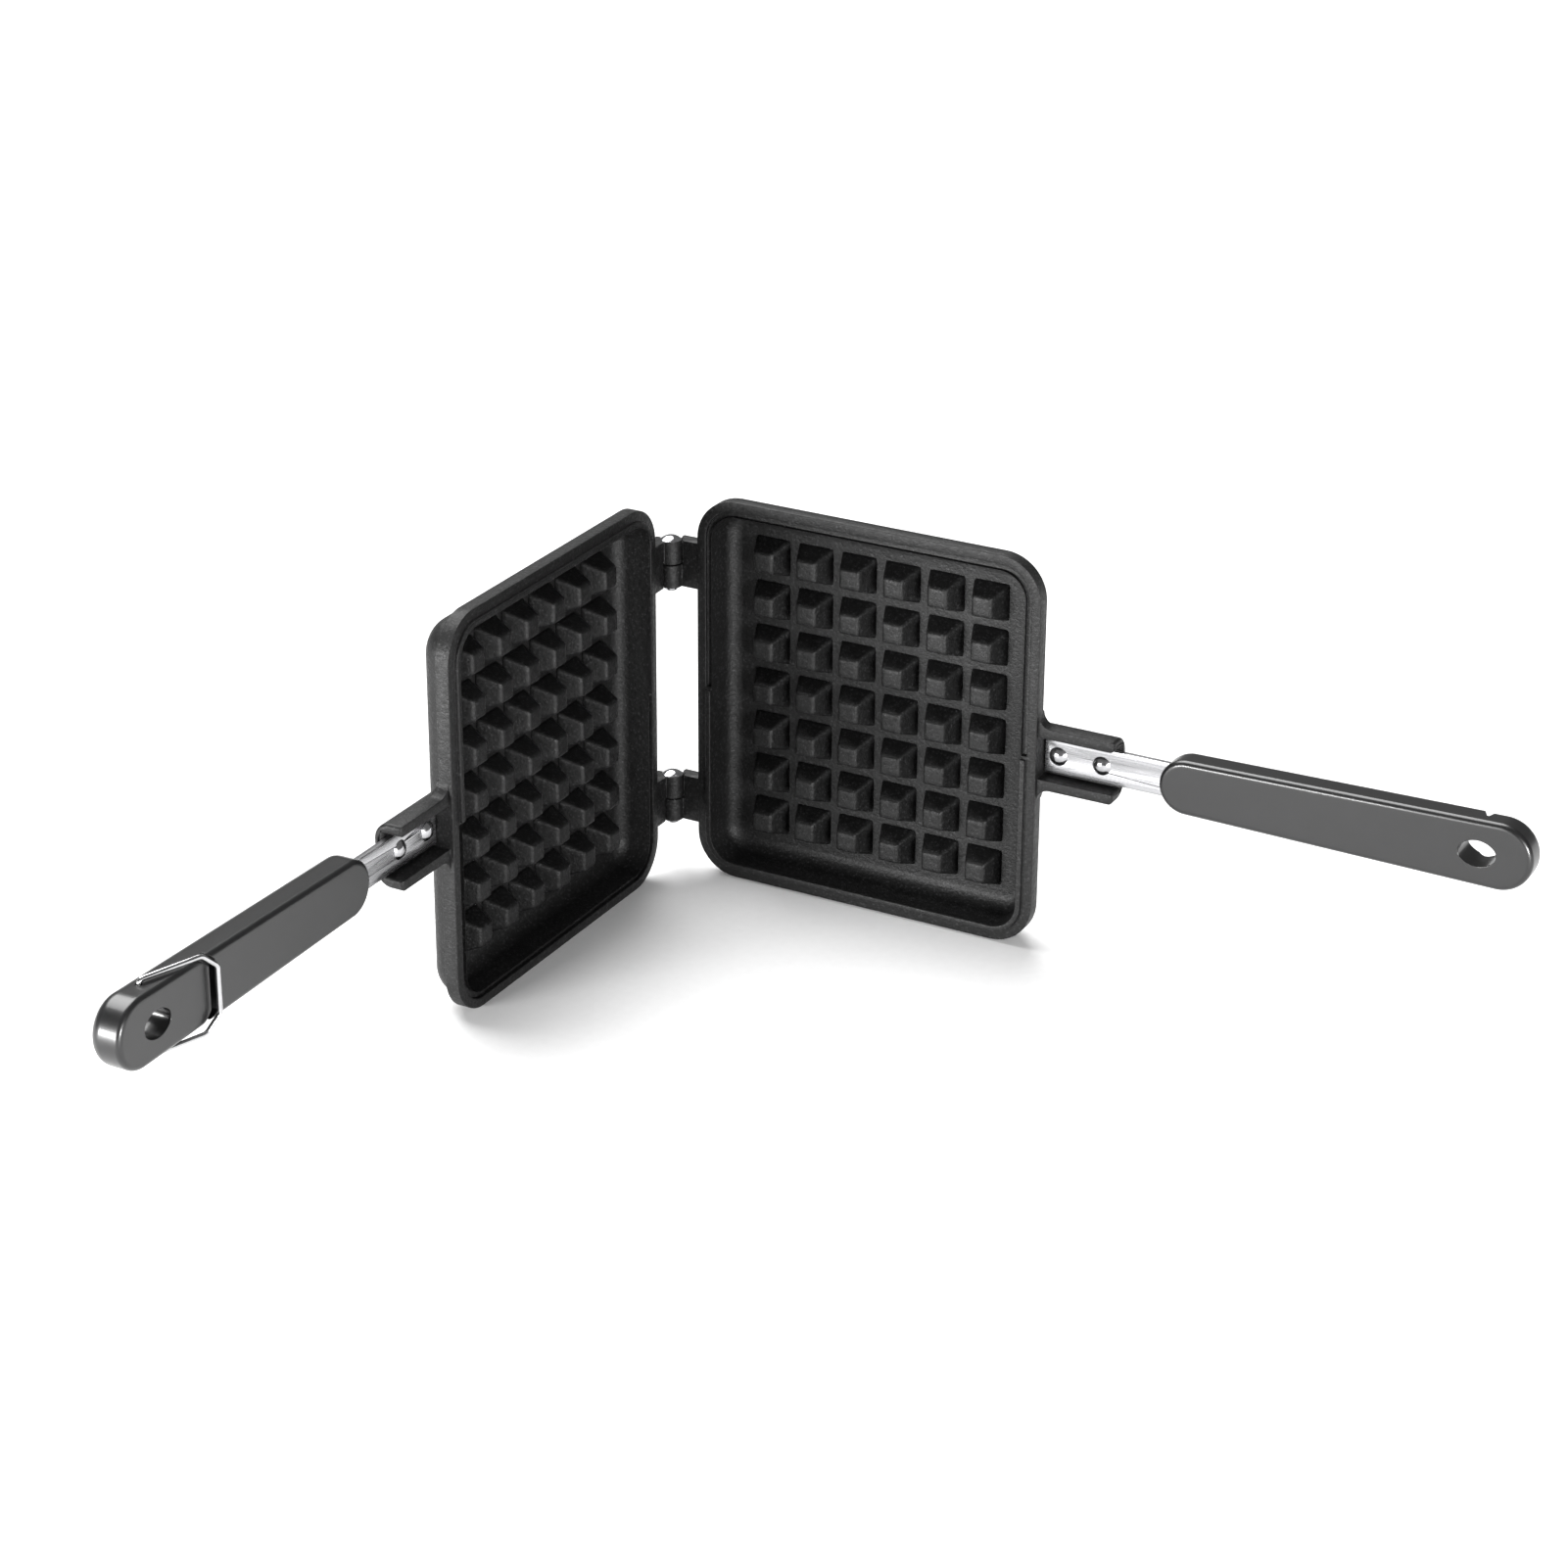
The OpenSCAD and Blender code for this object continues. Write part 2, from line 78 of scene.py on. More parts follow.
# Sizes of the half, in millimetres, as the part's source has them. X is measured from the
# hinge axis, and depths from the parting plane.
RIM_NEAR, RIM_FAR = 11.2, 152.2
PLATE_MIDDLE = (RIM_NEAR + RIM_FAR) / 2
CAVITY_FLOOR = -13.0
PEG_DROP = 3.9
PEG_BASE, PEG_TOP = 14.6, 7.5
PEG_COLUMNS, PEG_ROWS = 6, 7
PITCH_ACROSS, PITCH_ALONG = 18.0, 17.7
RIVET_PLACES = (158.1, 175.3)

# %% [markdown]
# ## Working with nodes
# Every material and every Geometry Nodes tree below is built from the same small step: add
# a node, set its properties, and link its inputs. One function does that, and one more
# turns an sRGB hex colour into the linear values that Blender's sockets expect.

# %% Helpers for colours and nodes
def colour(code):
    """An sRGB colour such as '#2b2b2b' as linear red, green, blue and alpha."""
    parts = [int(code[i:i + 2], 16) / 255 for i in (1, 3, 5)]
    linear = [c / 12.92 if c <= 0.04045 else ((c + 0.055) / 1.055) ** 2.4 for c in parts]
    return (*linear, 1.0)


def add(tree, kind, inputs=None, **settings):
    """Adds a node with its settings. An input is a value, or an output socket to link."""
    made = tree.nodes.new(kind)
    for name, value in settings.items():
        setattr(made, name, value)
    for key, value in (inputs or {}).items():
        if isinstance(value, bpy.types.NodeSocket):
            tree.links.new(value, made.inputs[key])
        else:
            made.inputs[key].default_value = value
    return made


def new_material(name):
    """An empty material and its shader and output nodes."""
    material = bpy.data.materials.new(name)
    material.use_nodes = True
    tree = material.node_tree
    return material, tree, tree.nodes["Principled BSDF"]


# %% [markdown]
# ## Non-stick coating on cast aluminium
# The plates are die-cast aluminium with a sprayed black non-stick coating. Sprayed coating
# has a fine orange peel and a speckle of lighter grains that catches the light. It is satin,
# so its highlights are broad and soft. The patterns read Object coordinates, in metres, so a
# noise scale of 620 makes a grain of about 1.6 mm. That is coarser than on a real pan, so
# that it shows at the size of the picture.

# %% Non-stick coating
def make_coating():
    material, tree, shader = new_material("sprayed_non_stick_on_cast_aluminium")
    place = add(tree, "ShaderNodeTexCoord").outputs["Object"]
    grain = add(tree, "ShaderNodeTexNoise", {"Vector": place, "Scale": 620.0, "Detail": 3.0,
                "Roughness": 0.75})
    speckle = add(tree, "ShaderNodeTexVoronoi", {"Vector": place, "Scale": 700.0})
    fleck = add(tree, "ShaderNodeMapRange", {"Value": speckle.outputs["Distance"],
                "From Min": 0.08, "From Max": 0.36, "To Min": 0.8, "To Max": 0.0})
    cloud = add(tree, "ShaderNodeTexNoise", {"Vector": place, "Scale": 40.0, "Detail": 4.0})
    base = add(tree, "ShaderNodeValToRGB", {"Fac": cloud.outputs["Fac"]})
    base.color_ramp.elements[0].position = 0.3
    base.color_ramp.elements[0].color = colour("#070707")
    base.color_ramp.elements[1].position = 0.7
    base.color_ramp.elements[1].color = colour("#0c0c0c")
    tint = add(tree, "ShaderNodeMix", {"Factor": fleck.outputs["Result"],
               "A": base.outputs["Color"], "B": colour("#2a2a2b")}, data_type="RGBA")
    tree.links.new(tint.outputs["Result"], shader.inputs["Base Color"])
    rough = add(tree, "ShaderNodeMapRange", {"Value": grain.outputs["Fac"],
                "From Min": 0.3, "From Max": 0.7, "To Min": 0.42, "To Max": 0.6})
    tree.links.new(rough.outputs["Result"], shader.inputs["Roughness"])
    peel = add(tree, "ShaderNodeBump", {"Height": grain.outputs["Fac"], "Strength": 0.6,
               "Distance": 0.0005})
    tree.links.new(peel.outputs["Normal"], shader.inputs["Normal"])
    shader.inputs["IOR"].default_value = 1.37
    return material


coating = make_coating()
print("made", coating.name)

# %% [markdown]
# ## Moulded phenolic resin
# The handles are compression-moulded phenolic resin, which stays hard next to a flame. It
# comes out of a polished mould, so it is glossy black. Its tone drifts faintly over some
# 8 mm, and fine pits from the filler, some 0.4 mm across, soften the gloss.

# %% Phenolic resin
def make_resin():
    material, tree, shader = new_material("compression_moulded_phenolic_resin")
    place = add(tree, "ShaderNodeTexCoord").outputs["Object"]
    wave = add(tree, "ShaderNodeTexNoise", {"Vector": place, "Scale": 120.0, "Detail": 1.0})
    pits = add(tree, "ShaderNodeTexNoise", {"Vector": place, "Scale": 2600.0, "Detail": 1.0})
    tone = add(tree, "ShaderNodeValToRGB", {"Fac": wave.outputs["Fac"]})
    tone.color_ramp.elements[0].color = colour("#0b0b0b")
    tone.color_ramp.elements[1].color = colour("#121213")
    tree.links.new(tone.outputs["Color"], shader.inputs["Base Color"])
    rough = add(tree, "ShaderNodeMapRange", {"Value": pits.outputs["Fac"],
                "From Min": 0.3, "From Max": 0.7, "To Min": 0.29, "To Max": 0.35})
    tree.links.new(rough.outputs["Result"], shader.inputs["Roughness"])
    soft = add(tree, "ShaderNodeBump", {"Height": pits.outputs["Fac"], "Strength": 0.05,
               "Distance": 0.0001})
    tree.links.new(soft.outputs["Normal"], shader.inputs["Normal"])
    shader.inputs["IOR"].default_value = 1.5
    shader.inputs["Coat Weight"].default_value = 0.2
    shader.inputs["Coat Roughness"].default_value = 0.06
    return material


resin = make_resin()
print("made", resin.name)

# %% [markdown]
# ## Steel: rolled strap, headed rivets and plated wire
# The straps are stamped from cold-rolled steel and tumbled bright, so faint lines run along
# the rolling direction. Rivets and pins are cold-headed and polished, and the bail is
# nickel-plated spring wire. All of them are bare metal: only tone, roughness and the stretch
# of the lines differ, so one function makes them. The straps run along different axes, so
# each has its own copy.

# %% Steel finishes
def make_steel(name, tone, smooth, dull, stretch):
    material, tree, shader = new_material(name)
    place = add(tree, "ShaderNodeTexCoord").outputs["Object"]
    drawn = add(tree, "ShaderNodeMapping", {"Vector": place, "Scale": stretch})
    lines = add(tree, "ShaderNodeTexNoise", {"Vector": drawn.outputs["Vector"],
                "Scale": 1.0, "Detail": 3.0})
    rough = add(tree, "ShaderNodeMapRange", {"Value": lines.outputs["Fac"],
                "From Min": 0.3, "From Max": 0.7, "To Min": smooth, "To Max": dull})
    tree.links.new(rough.outputs["Result"], shader.inputs["Roughness"])
    shade = add(tree, "ShaderNodeMix", {"Factor": lines.outputs["Fac"],
                "A": colour(tone), "B": colour("#c4c4c6")}, data_type="RGBA")
    tree.links.new(shade.outputs["Result"], shader.inputs["Base Color"])
    ridge = add(tree, "ShaderNodeBump", {"Height": lines.outputs["Fac"], "Strength": 0.08,
                "Distance": 0.00005})
    tree.links.new(ridge.outputs["Normal"], shader.inputs["Normal"])
    shader.inputs["Metallic"].default_value = 1.0
    return material


strap_steel = {
    "right": make_steel("cold_rolled_steel_right", "#9c9c9e", 0.22, 0.34, (60, 900, 2500)),
    "left": make_steel("cold_rolled_steel_left", "#9c9c9e", 0.22, 0.34, (900, 60, 2500)),
}
rivet_steel = make_steel("polished_cold_headed_steel", "#969698", 0.12, 0.2, (700, 700, 700))
wire_steel = make_steel("nickel_plated_spring_wire", "#a8a8a8", 0.12, 0.22, (500, 500, 500))
print("made", [m.name for m in (*strap_steel.values(), rivet_steel, wire_steel)])

# %% [markdown]
# ## Rounding the castings and mouldings
# Nothing cast or moulded has a knife edge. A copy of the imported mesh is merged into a
# closed surface, and its flat areas are dissolved into single faces. Points closer than a
# bevel can round are merged, and hollow faces are cut into full ones. A Bevel modifier then
# rounds every edge that turns by more than 30 degrees, and weighted normals keep the flat
# faces flat. The rounded copy stands in for its plain node.

# %% Rounded copies
SLIVER = 0.03   # points closer than this are merged, in millimetres
FLAT_ANGLE = math.radians(0.5)   # faces that meet at less than this are one flat face


def drop_slivers(shape):
    """Merges points closer than a bevel can round, and cuts hollow faces into full ones."""
    bmesh.ops.remove_doubles(shape, verts=shape.verts, dist=SLIVER * MM)
    bmesh.ops.dissolve_degenerate(shape, dist=SLIVER * MM, edges=shape.edges)
    bmesh.ops.connect_verts_concave(shape, faces=shape.faces)


def rounded_copy(name, node, width, side, change=None):
    """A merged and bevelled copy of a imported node, with an optional change to its mesh."""
    shape = bmesh.new()
    shape.from_mesh(frame["nodes"][node].data)
    bmesh.ops.transform(shape, matrix=HALVES[side].inverted(), verts=shape.verts)
    bmesh.ops.remove_doubles(shape, verts=shape.verts, dist=1e-6)
    if change:
        change(shape)
    bmesh.ops.dissolve_limit(shape, angle_limit=FLAT_ANGLE, verts=shape.verts,
                             edges=shape.edges)
    drop_slivers(shape)
    bmesh.ops.transform(shape, matrix=HALVES[side], verts=shape.verts)
    mesh = bpy.data.meshes.new(name)
    shape.to_mesh(mesh)
    shape.free()
    piece = bpy.data.objects.new(name, mesh)
    bpy.context.scene.collection.objects.link(piece)
    return keep_inside(round_edges(piece, width), node)


def round_edges(piece, width):
    """Bevels every edge that turns by more than 30 degrees, by a width in millimetres."""
    bevel = piece.modifiers.new("round", "BEVEL")
    bevel.width = width * MM
    bevel.segments = 3
    bevel.limit_method = "ANGLE"
    bevel.angle_limit = math.radians(30)
    bevel.use_clamp_overlap = False
    piece.modifiers.new("weigh", "WEIGHTED_NORMAL").keep_sharp = True
    return bake(piece)


def keep_inside(piece, node):
    """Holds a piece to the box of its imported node, where a bevel ran a hair past it."""
    low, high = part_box(node)
    for vertex in piece.data.vertices:
        vertex.co = [min(max(c, lo), hi) for c, lo, hi in zip(vertex.co, low, high)]
    return piece


def bake(piece):
    """Replaces a piece's mesh by its evaluated one and drops the modifiers."""
    graph = bpy.context.evaluated_depsgraph_get()
    mesh = bpy.data.meshes.new_from_object(piece.evaluated_get(graph), depsgraph=graph)
    piece.modifiers.clear()
    piece.data = mesh
    for face in mesh.polygons:
        face.use_smooth = True
    return piece


def finish_piece(piece, material, body, slot, *nodes):
    """Gives a piece its material and body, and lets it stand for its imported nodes."""
    piece.data.materials.clear()
    piece.data.materials.append(material)
    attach(piece, body)
    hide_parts(*nodes)
    return piece


# %% [markdown]
# ## The trays
# A tray is the casting without its pegs: rim, recess, hinge lugs and handle bracket. The
# peg faces are found by their place, above the recess floor and inside the grid, and
# deleted. The square holes that they leave are filled again, so that the floor is closed.
# The tips of the bracket are rounded more than the other edges, as in the photograph.

# %% Trays
BRACKET_END = 182.0
BRACKET_TIP = 1.3
TRAY_EDGE = 0.3


def drop_pegs(shape):
    """Removes the pegs from a casting that lies on its back, and closes the floor."""
    half_x = PEG_COLUMNS * PITCH_ACROSS / 2 * MM
    half_y = PEG_ROWS * PITCH_ALONG / 2 * MM
    pegs = []
    for face in shape.faces:
        spot = face.calc_center_median()
        if (abs(spot.x - PLATE_MIDDLE * MM) < half_x and abs(spot.y) < half_y
                and spot.z > (CAVITY_FLOOR + 0.02) * MM and spot.z < -PEG_DROP * MM + 1e-5):
            pegs.append(face)
    bmesh.ops.delete(shape, geom=pegs, context="FACES")
    open_edges = [edge for edge in shape.edges if edge.is_boundary]
    filled = bmesh.ops.holes_fill(shape, edges=open_edges, sides=8)
    print("peg faces removed:", len(pegs), "holes filled:", len(filled["faces"]))


def prepare(shape):
    """Takes the pegs off a casting and rounds the tips of its bracket."""
    drop_pegs(shape)
    bmesh.ops.dissolve_limit(shape, angle_limit=FLAT_ANGLE, verts=shape.verts,
                             edges=shape.edges)
    rim = [edge for edge in shape.edges if edge.calc_face_angle(0) > math.radians(45)
           and all(abs(v.co.x - BRACKET_END * MM) < 1e-5 for v in edge.verts)]
    bmesh.ops.bevel(shape, geom=rim, offset=BRACKET_TIP * MM, segments=5, profile=0.5,
                    affect="EDGES", clamp_overlap=True)
    print("bracket edges rounded:", len(rim))


trays = {}
for side in HALVES:
    trays[side] = rounded_copy(side + "_tray", side + "_plate", TRAY_EDGE, side, prepare)
    print(side, "tray faces:", len(trays[side].data.polygons))

# %% [markdown]
# ## The peg grid
# The pegs repeat in six columns and seven rows, so Geometry Nodes lays them out. One peg
# starts as a cube. Its top is drawn in to make the draft, and a Subdivision Surface with
# creased edges turns it into a frustum with soft corners, as a casting die leaves them.
# The peg is then placed on every point of a grid and the result is made real.

# %% Peg grid tree
def make_peg_tree(material):
    tree = bpy.data.node_groups.new("peg_grid", "GeometryNodeTree")
    tree.is_modifier = True
    for name, kind, value in (
            ("Columns", "NodeSocketInt", PEG_COLUMNS), ("Rows", "NodeSocketInt", PEG_ROWS),
            ("Pitch across", "NodeSocketFloat", PITCH_ACROSS * MM),
            ("Pitch along", "NodeSocketFloat", PITCH_ALONG * MM),
            ("Base", "NodeSocketFloat", PEG_BASE * MM),
            ("Top", "NodeSocketFloat", PEG_TOP * MM),
            ("Height", "NodeSocketFloat", (-PEG_DROP - CAVITY_FLOOR) * MM),
            ("Sink", "NodeSocketFloat", 0.6 * MM),
            ("Softening levels", "NodeSocketInt", 3),
            ("Crease", "NodeSocketFloat", 0.9),
            ("Upright crease", "NodeSocketFloat", 0.72)):
        socket = tree.interface.new_socket(name, in_out="INPUT", socket_type=kind)
        socket.default_value = value
    tree.interface.new_socket("Geometry", in_out="OUTPUT", socket_type="NodeSocketGeometry")
    given = add(tree, "NodeGroupInput").outputs

    def calc(operation, a, b=0.0):
        return add(tree, "ShaderNodeMath", {0: a, 1: b}, operation=operation).outputs[0]

    # The cube reaches from the sunk foot to the top of the peg
    tall = calc("ADD", given["Height"], given["Sink"])
    slope = calc("DIVIDE", calc("SUBTRACT", given["Base"], given["Top"]), given["Height"])
    foot = calc("ADD", given["Base"], calc("MULTIPLY", slope, given["Sink"]))
    shrink = calc("DIVIDE", given["Top"], foot)
    size = add(tree, "ShaderNodeCombineXYZ", {"X": foot, "Y": foot, "Z": tall})
    cube = add(tree, "GeometryNodeMeshCube", {"Size": size.outputs[0]})
    place = add(tree, "GeometryNodeInputPosition").outputs[0]
    apart = add(tree, "ShaderNodeSeparateXYZ", {"Vector": place})
    upper = calc("GREATER_THAN", apart.outputs["Z"], 0.0)
    drawn = add(tree, "ShaderNodeCombineXYZ", {
        "X": calc("MULTIPLY", apart.outputs["X"], shrink),
        "Y": calc("MULTIPLY", apart.outputs["Y"], shrink), "Z": apart.outputs["Z"]})
    taper = add(tree, "GeometryNodeSetPosition", {"Geometry": cube.outputs["Mesh"],
                "Selection": upper, "Position": drawn.outputs[0]})
    ends = add(tree, "GeometryNodeInputMeshEdgeVertices")
    heights = [add(tree, "ShaderNodeSeparateXYZ", {"Vector": ends.outputs[key]}).outputs["Z"]
               for key in ("Position 1", "Position 2")]
    stands = calc("GREATER_THAN", calc("ABSOLUTE", calc("SUBTRACT", *heights)), 1e-4)
    crease = add(tree, "ShaderNodeMix", {"Factor": stands, "A": given["Crease"],
                 "B": given["Upright crease"]}, data_type="FLOAT")
    soft = add(tree, "GeometryNodeSubdivisionSurface", {"Mesh": taper.outputs[0],
               "Level": given["Softening levels"], "Edge Crease": crease.outputs["Result"]})
    rise = add(tree, "ShaderNodeCombineXYZ", {"Z": calc("SUBTRACT",
               calc("MULTIPLY", tall, 0.5), given["Sink"])})
    peg = add(tree, "GeometryNodeTransform", {"Geometry": soft.outputs[0],
              "Translation": rise.outputs[0]})
    grid = add(tree, "GeometryNodeMeshGrid", {
        "Size X": calc("MULTIPLY", calc("SUBTRACT", given["Columns"], 1.0),
                       given["Pitch across"]),
        "Size Y": calc("MULTIPLY", calc("SUBTRACT", given["Rows"], 1.0),
                       given["Pitch along"]),
        "Vertices X": given["Columns"], "Vertices Y": given["Rows"]})
    placed = add(tree, "GeometryNodeInstanceOnPoints", {"Points": grid.outputs["Mesh"],
                 "Instance": peg.outputs[0]})
    real = add(tree, "GeometryNodeRealizeInstances", {"Geometry": placed.outputs[0]})
    shiny = add(tree, "GeometryNodeSetMaterial", {"Geometry": real.outputs[0],
                "Material": material})
    add(tree, "NodeGroupOutput", {"Geometry": shiny.outputs[0]})
    return tree


peg_tree = make_peg_tree(coating)


def grown(name, tree):
    """A mesh object from a Geometry Nodes tree, with the sizes that its inputs hold."""
    piece = bpy.data.objects.new(name, bpy.data.meshes.new(name))
    bpy.context.scene.collection.objects.link(piece)
    piece.modifiers.new("grow", "NODES").node_group = tree
    return bake(piece)


# %% Pegs for both trays
for side, half in HALVES.items():
    pegs = grown(side + "_pegs", peg_tree)
    pegs.data.transform(half @ Matrix.Translation(Vector((PLATE_MIDDLE, 0, CAVITY_FLOOR)) * MM))
    finish_piece(trays[side], coating, side + "_half", "cast_non_stick", side + "_plate")
    finish_piece(pegs, coating, side + "_half", "cast_non_stick", side + "_plate")
    print(side, "peg faces:", len(pegs.data.polygons))

# %% [markdown]
# ## Handles
# A handle is a tapered bar with round ends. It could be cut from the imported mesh, but its
# arcs are coarse there, and a glossy surface shows every facet. So its outline is drawn
# again as rings of points: each ring is the same tapered shape, drawn in by the rounding of
# the edge at its depth. The right handle is thinner at its far end, so that the bail can
# swing over it. Holes, groove and notch are then cut with exact booleans, and the cut edges
# get the small radius that moulded parts have.

# %% Sizes of the handles and the bail, in millimetres
NEAR_END, FAR_END = 199.2, 338.7
NEAR_RADIUS, FAR_RADIUS = 10.5, 12.6
HANDLE_FACE, HANDLE_DEPTH = -2.5, 13.0
BACK = HANDLE_FACE - HANDLE_DEPTH
FACE_ROUND, BACK_ROUND = 2.0, 5.0
THIN_RELIEF, THIN_ROUND = 1.5, 4.0
HOLE = FAR_END - 20.0
HOLE_LENGTH, HOLE_WIDTH, HOLE_FLARE = 13.7, 9.7, 2.5
STEP_START, STEP_END = HOLE + 1, HOLE + 3
GRIP_EDGE = 0.25
# The bail's reach from its pivot, the length of its slanted corner, the width of its bar,
# and how far its arms and the ends of its wire lie from the middle
REACH, CORNER, BAR, ARM, ROOT = 30.0, 6.0, 17.0, 13.97, 7.47

near_centre, far_centre = NEAR_END + NEAR_RADIUS, FAR_END - FAR_RADIUS
taper = math.asin((FAR_RADIUS - NEAR_RADIUS) / (far_centre - near_centre))


# %% The outline of a handle
FAR_STEPS, NEAR_STEPS, EDGE_STEPS = 56, 48, 8
FLAT_RING = 0.5


def arc(x, y, radius, first, last, steps):
    """Points on an arc in the plane, in millimetres, between two angles in radians."""
    return [(x + radius * math.cos(first + (last - first) * i / steps),
             y + radius * math.sin(first + (last - first) * i / steps))
            for i in range(steps + 1)]


def curve_through(first, pull, last, steps):
    """Points on a curve from one point to another, drawn towards a third."""
    points = []
    for i in range(steps + 1):
        t = i / steps
        shares = zip(((1 - t) ** 2, 2 * t * (1 - t), t ** 2), (first, pull, last))
        x, y = zip(*[(share * point[0], share * point[1]) for share, point in shares])
        points.append((sum(x), sum(y)))
    return points


def handle_ring(near, far):
    """The tapered outline of a handle. Each end has its own (inset, depth), and the step
    between them lies just beyond the middle of the hanging hole."""
    lean = math.pi / 2 + taper

    def side(x, level, sign):
        width = NEAR_RADIUS - level[0] + (x - near_centre) * math.sin(taper)
        return (x, sign * width / math.cos(taper), level[1])

    far_arc = arc(far_centre, 0, FAR_RADIUS - far[0], -lean, lean, FAR_STEPS)
    near_arc = arc(near_centre, 0, NEAR_RADIUS - near[0], lean, 2 * math.pi - lean, NEAR_STEPS)
    return ([(x, y, far[1]) for x, y in far_arc]
            + [side(STEP_END, far, 1), side(STEP_START, near, 1)]
            + [(x, y, near[1]) for x, y in near_arc]
            + [side(STEP_START, near, -1), side(STEP_END, far, -1)])


# Places in a ring where the step starts, on one side and on the other, and the points of the
# flat faces that close a handle: beyond the step, the step itself and before it
STEP_UP = FAR_STEPS + 1
STEP_DOWN = STEP_UP + NEAR_STEPS + 3
HANDLE_FLATS = [[*range(STEP_UP + 1), STEP_DOWN + 1],
                [STEP_UP, STEP_UP + 1, STEP_DOWN, STEP_DOWN + 1],
                [*range(STEP_UP + 1, STEP_DOWN + 1)]]


def edge_levels(depth, back_round):
    """Pairs of inset and depth round both edges of a handle, from its inner face back. The
    first and the last ring lie in the flat faces, and keep their shading flat."""
    turns = [math.pi / 2 * i / EDGE_STEPS for i in range(EDGE_STEPS + 1)]
    face = [(FACE_ROUND * (1 - math.sin(t)), HANDLE_FACE - FACE_ROUND * (1 - math.cos(t)))
            for t in turns]
    back = [(back_round * (1 - math.cos(t)),
             HANDLE_FACE - depth + back_round * (1 - math.sin(t))) for t in turns]
    return ([(FACE_ROUND + FLAT_RING, HANDLE_FACE)] + face + back
            + [(back_round + FLAT_RING, HANDLE_FACE - depth)])


def oval_ring(length, width):
    """The hanging hole: two small and two large arcs that run into each other."""
    small = 0.74 * width / 2
    centre, half = length / 2 - small, width / 2
    large = (centre ** 2 + half ** 2 - small ** 2) / (2 * (half - small))
    lean = math.atan2(large - half, centre)
    return (arc(HOLE + centre, 0, small, -lean, lean, 20)[:-1]
            + arc(HOLE, half - large, large, lean, math.pi - lean, 20)[:-1]
            + arc(HOLE - centre, 0, small, math.pi - lean, math.pi + lean, 20)[:-1]
            + arc(HOLE, large - half, large, math.pi + lean, 2 * math.pi - lean, 20)[:-1])


# %% Solids from rings, and booleans
def loft(name, rings, flats=None):
    """A closed solid through rings of points in millimetres. The flats list the points of
    each face that closes an end."""
    shape = bmesh.new()
    loops = [[shape.verts.new(Vector(point) * MM) for point in ring] for ring in rings]
    for low, high in zip(loops, loops[1:]):
        for i in range(len(low)):
            k = (i + 1) % len(low)
            shape.faces.new((low[i], low[k], high[k], high[i]))
    for loop in (loops[0], loops[-1]):
        for flat in flats or [range(len(loop))]:
            shape.faces.new([loop[i] for i in flat])
    bmesh.ops.recalc_face_normals(shape, faces=shape.faces)
    mesh = bpy.data.meshes.new(name)
    shape.to_mesh(mesh)
    shape.free()
    piece = bpy.data.objects.new(name, mesh)
    bpy.context.scene.collection.objects.link(piece)
    return piece


def upright(name, outline, low, high):
    """A prism on an outline in the plane of the plate, from one depth to another."""
    return loft(name, [[(x, y, z) for x, y in outline] for z in (low, high)])


def crosswise(name, outline, start, end):
    """A prism on an outline of (x, z) that runs across the handle, from one y to another."""
    return loft(name, [[(x, y, z) for x, z in outline] for y in (start, end)])


def cut_away(piece, cutter):
    """Takes one solid out of another by an exact boolean, and removes it."""
    cut = piece.modifiers.new("cut", "BOOLEAN")
    cut.operation, cut.object, cut.solver = "DIFFERENCE", cutter, "EXACT"
    bake(piece)
    bpy.data.objects.remove(cutter)


def handle_body(name, near, far):
    """The solid outside of a handle, with its rounded edges and its own far end."""
    return loft(name, [handle_ring(a, b) for a, b in zip(near, far)], HANDLE_FLATS)


# %% [markdown]
# ### The left handle
# The bail folds into a groove in the inner face. The groove is a band of even width that is
# bent where the wire is bent. The ends of the wire turn in two blind sockets, which open in
# the handle's sides.

# %% Left handle
PAST = 1.0   # how far a cutter stands past the face that it cuts
GROOVE_HALF, GROOVE_DEPTH = 1.6, 2.9
SOCKET_RADIUS, SOCKET_END, SOCKET_MOUTH = 1.06, 7.4, 14.0
BAIL_DEPTH = HANDLE_FACE - HANDLE_DEPTH / 2
FOLD = math.radians(12.6)   # between the folded bail and the handle

full = edge_levels(HANDLE_DEPTH, BACK_ROUND)
left_grip = handle_body("left_grip", full, full)
bar_place = HOLE - REACH * math.cos(FOLD)
corner_turn = math.atan2(CORNER, ARM - BAR / 2)
mitre = GROOVE_HALF * math.tan(corner_turn / 2)
slant = (FAR_RADIUS * math.sin(corner_turn), FAR_RADIUS * math.cos(corner_turn))
front = (bar_place - GROOVE_HALF, BAR / 2 + mitre)
rear = (bar_place + GROOVE_HALF, BAR / 2 - mitre)
band = [front, (front[0] + slant[0], front[1] + slant[1]),
        (rear[0] + slant[0], rear[1] + slant[1]), rear]
band += [(x, -y) for x, y in reversed(band)]
cut_away(left_grip, upright("groove", band, HANDLE_FACE - GROOVE_DEPTH, HANDLE_FACE + PAST))
socket_ring = arc(HOLE, BAIL_DEPTH, SOCKET_RADIUS, 0, 2 * math.pi, 32)[:-1]
for y in (-1, 1):
    cut_away(left_grip, crosswise("socket", socket_ring, y * SOCKET_END, y * SOCKET_MOUTH))

# %% [markdown]
# ### The right handle
# The bail's bar drops into a notch across the back, which runs through the hole. The
# photograph shows it as a dip in the top edge, deeper than the part's notch, so a nick is
# added where the notch meets each side.

# %% Right handle
CUT_REACH = 16.0
NOTCH_HALF, NOTCH_DEPTH = 5.0, 4.0
NICK_DEPTH, NICK_START = 7.2, 9.6

